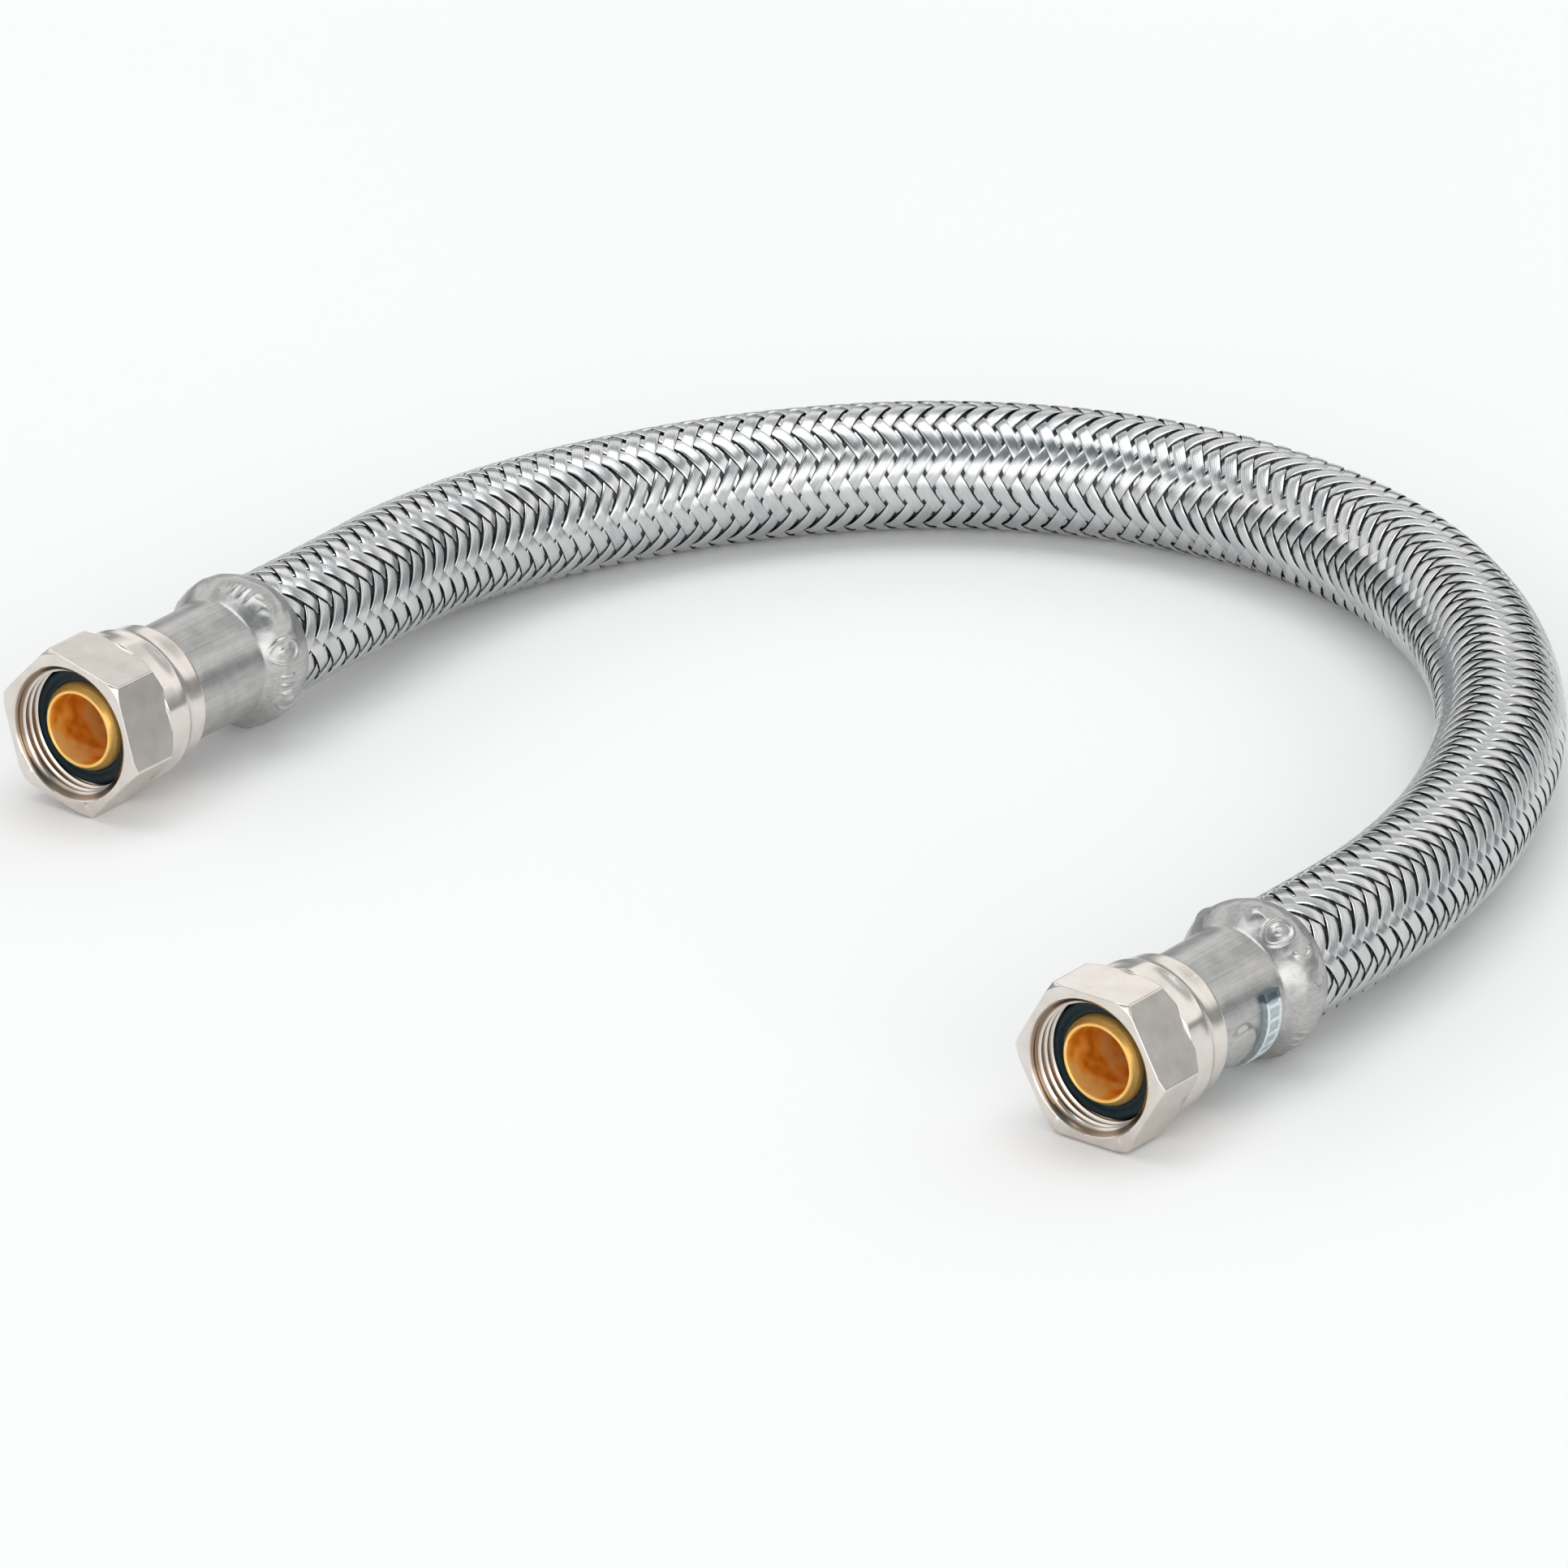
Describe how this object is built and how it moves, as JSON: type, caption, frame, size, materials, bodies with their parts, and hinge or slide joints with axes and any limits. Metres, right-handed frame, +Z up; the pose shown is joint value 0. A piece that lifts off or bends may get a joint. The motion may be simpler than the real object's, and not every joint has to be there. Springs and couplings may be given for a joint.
{
  "type": "braided supply line",
  "caption": "Flexible steel-braided water hose bent into a U, with a crimped ferrule and a swivel hexagon pipe nut at each end.",
  "frame": {"origin": "middle of the two end fittings, on the surface that the hose lies on", "axes": "+Z up, -Y the way both nuts' mouths point, +X from fitting A to fitting B"},
  "size_m": [0.2781, 0.2495, 0.0332],
  "materials": {
    "nickel_plate": "satin nickel plate on brass",
    "ferrule_steel": "satin pressed stainless steel",
    "braid_steel": "bright woven stainless steel wire",
    "brass": "turned, polished in the bore",
    "gasket_rubber": "matt black",
    "liner_rubber": "matt black",
    "band_metal": "thin satin strip"
  },
  "bodies": {
    "hose": {"hose_liner": "liner_rubber", "hose_braid": "braid_steel", "gasket_a": "gasket_rubber", "nipple_a": "brass", "ferrule_a": "ferrule_steel", "gasket_b": "gasket_rubber", "nipple_b": "brass", "ferrule_b": "ferrule_steel", "date_band_b": "band_metal"},
    "nut_a": {"coupling_nut_a": "nickel_plate"},
    "nut_b": {"coupling_nut_b": "nickel_plate"}
  },
  "joints": [
    {"name": "nut_a_swivel", "type": "hinge", "parent": "hose", "child": "nut_a", "pos_m": [-0.122, -0.0283, 0.0166], "axis": [0, 1, 0], "continuous": true},
    {"name": "nut_b_swivel", "type": "hinge", "parent": "hose", "child": "nut_b", "pos_m": [0.122, -0.0283, 0.0155], "axis": [0, 1, 0], "continuous": true}
  ]
}
